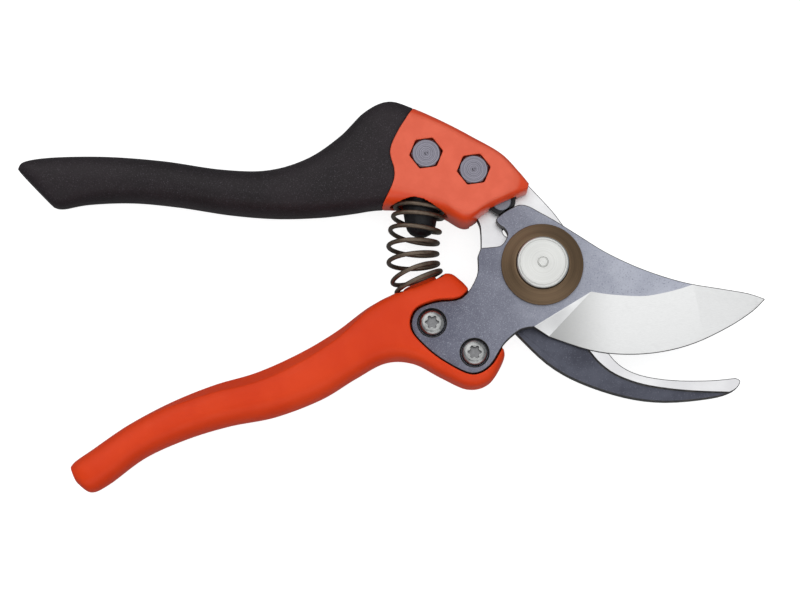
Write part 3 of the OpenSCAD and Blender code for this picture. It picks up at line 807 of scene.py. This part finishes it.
def dress_fasteners():
    bolt_steel = [turned(f"bolt_face_{i}", at, (0.25, 0.24, 0.28), (0.12, 0.115, 0.14), 0.28,
                         pitch=0.5, depth=0.03, drawn=0.75)
                  for i, at in enumerate(TANG_BOLTS)]
    split_x = PIVOT[0] + MM * (TANG_BOLTS[0][0] + TANG_BOLTS[1][0]) / 2
    dress("tang_bolts", bolt_steel, 0.1, lambda face: int(face.center.x > split_x))
    dress("tang_nuts", [plain_metal("nut_steel", (0.3, 0.32, 0.36), 0.4)], 0.2)
    dress("pivot_nut", [turned("bright_nut", (0, 0), (0.66, 0.66, 0.64), (0.54, 0.54, 0.52), 0.4,
                               pitch=0.25, depth=0.003, drawn=0.3)], 0.1)
    dress("disc_spring", [plain_metal("spring_ring", (0.4, 0.4, 0.4), 0.35)], 0)
    dress("rear_washer", [turned("washer_steel", (0, 0), (0.45, 0.46, 0.47), (0.34, 0.35, 0.36),
                                 0.36)], 0.12)
    dress("pivot_bolt", [plain_metal("bolt_steel", (0.42, 0.43, 0.45), 0.34)], 0.12)
    dress("pivot_bush", [plain_metal("bush_bronze", (0.5, 0.34, 0.17), 0.45)], 0)
    dress("screw_inserts", [plain_metal("insert_brass", (0.6, 0.45, 0.2), 0.4)], 0)
    screws = [in_frame(at) for at in BLADE_SCREWS]

    # Faces inside the star recess get a darker zinc: painted shade in the recess.
    def screw_zone(face):
        inside = min(math.dist(face.center[:2], at) for at in screws) < STAR_R * MM
        return int(inside and face.center.z < SHEAR_Z + STAR_Z * MM)

    dress("blade_screws", [plain_metal("zinc_screw", (0.38, 0.384, 0.38), 0.25, size=0.9),
                           plain_metal("screw_recess_painted_shade", (0.24, 0.24, 0.245), 0.38)], 0.08, screw_zone)
    dress("lock_axle", [plain_metal("axle_steel", (0.24, 0.25, 0.29), 0.42, metallic=0.7)], 0.15)
    dress("lock_clip", [plain_metal("clip_steel", (0.45, 0.46, 0.47), 0.36)], 0.05)
    dress("stop_sleeve", [soft_black("sleeve_black", 0.4)], 0.15)
    dress("lock_lever", [soft_black("lever_black", 0.5)], 0.3)
    dress("spring_bumper", [soft_black("bumper_black", 0.38, 0.8)], 0.25)


# ---------------------------------------------------------------- stage

VIEW_WIDTH = 224.0
VIEW_MIDDLE = (-39.71, -9.41)
CAMERA_AWAY = 0.7
CAMERA_TILT = math.radians(9.5)
SENSOR = 36.0
FLOOR_HALF = 1500
FLOOR_DEPTH = 20
FLOOR_GAP = 0.02
# The world's brightness: height from the lowest, 0, to the highest, 1, and the level there.
WORLD = ((0.3, 0.2), (0.46, 0.34), (0.52, 0.6), (0.75, 0.42))
# Name, place in metres, width and depth in metres, power in watts. All of them face the origin.
LIGHTS = [
    ("overhead", (0.05, 0.15, 1.5), (2.2, 1.7), 10.5),
    ("key", (-1.0, 1.5, 1.6), (2.8, 2.4), 17),
    ("front", (0.3, -1.7, 1.1), (3.0, 1.5), 13),
]


def add_camera():
    data = bpy.data.cameras.new("camera")
    data.sensor_width = SENSOR
    data.lens = SENSOR * CAMERA_AWAY / (VIEW_WIDTH * MM)
    data.clip_start = 0.01
    camera = bpy.data.objects.new("camera", data)
    x, y = in_frame(VIEW_MIDDLE)
    camera.location = (x, y - CAMERA_AWAY * math.sin(CAMERA_TILT),
                       SHEAR_Z + CAMERA_AWAY * math.cos(CAMERA_TILT))
    camera.rotation_euler = (CAMERA_TILT, 0, 0)
    bpy.context.scene.collection.objects.link(camera)
    bpy.context.scene.camera = camera


def add_light(name, at, size, power):
    data = bpy.data.lights.new(name, "AREA")
    data.shape = "RECTANGLE"
    data.size, data.size_y = size
    data.energy = power
    light = bpy.data.objects.new(name, data)
    light.location = at
    light.rotation_euler = (-Vector(at)).to_track_quat("-Z", "Y").to_euler()
    bpy.context.scene.collection.objects.link(light)


def studio_world():
    """A pale room, darker below the horizon than above it."""
    world = bpy.data.worlds.new("world")
    world.use_nodes = True
    tree = world.node_tree
    place = tree.nodes.new("ShaderNodeTexCoord")
    parts = tree.nodes.new("ShaderNodeSeparateXYZ")
    ramp = tree.nodes.new("ShaderNodeValToRGB")
    tree.links.new(place.outputs["Generated"], parts.inputs[0])
    height = tree.nodes.new("ShaderNodeMapRange")
    height.inputs["From Min"].default_value = -1
    tree.links.new(parts.outputs["Z"], height.inputs["Value"])
    tree.links.new(height.outputs["Result"], ramp.inputs["Fac"])
    for i, (at, level) in enumerate(WORLD):
        stop = ramp.color_ramp.elements[i] if i < 2 else ramp.color_ramp.elements.new(at)
        stop.position = at
        stop.color = (0.95 * level, 0.975 * level, level, 1)
    tree.links.new(ramp.outputs["Color"], tree.nodes["Background"].inputs["Color"])
    return world


def add_stage():
    """A pale floor that doesn't colour the object, a pale room, and soft lights."""
    half = FLOOR_HALF
    square = [(-half, -half), (half, -half), (half, half), (-half, half)]
    floor = new_object("floor", prism(square, -FLOOR_DEPTH, -FLOOR_GAP))
    floor.data.transform(Matrix.Scale(MM, 4))
    look = Look("floor_paper", Roughness=0.9, Specular_IOR_Level=0.1, Emission_Strength=0.84,
                Emission_Color=(1, 1, 1, 1))
    look.colour(look.mix(look.noise(60, 2), (0.40, 0.40, 0.40), (0.42, 0.42, 0.42)))
    floor.data.materials.append(look.material)
    floor.visible_diffuse = False
    floor.visible_glossy = False
    bpy.context.scene.world = studio_world()
    for light in LIGHTS:
        add_light(*light)
    bpy.context.scene.view_settings.view_transform = "Standard"


add_camera()
build_head()
build_grip()
build_lower_handle()
build_spring()
build_disc()
dress_steel()
dress_fasteners()
add_stage()
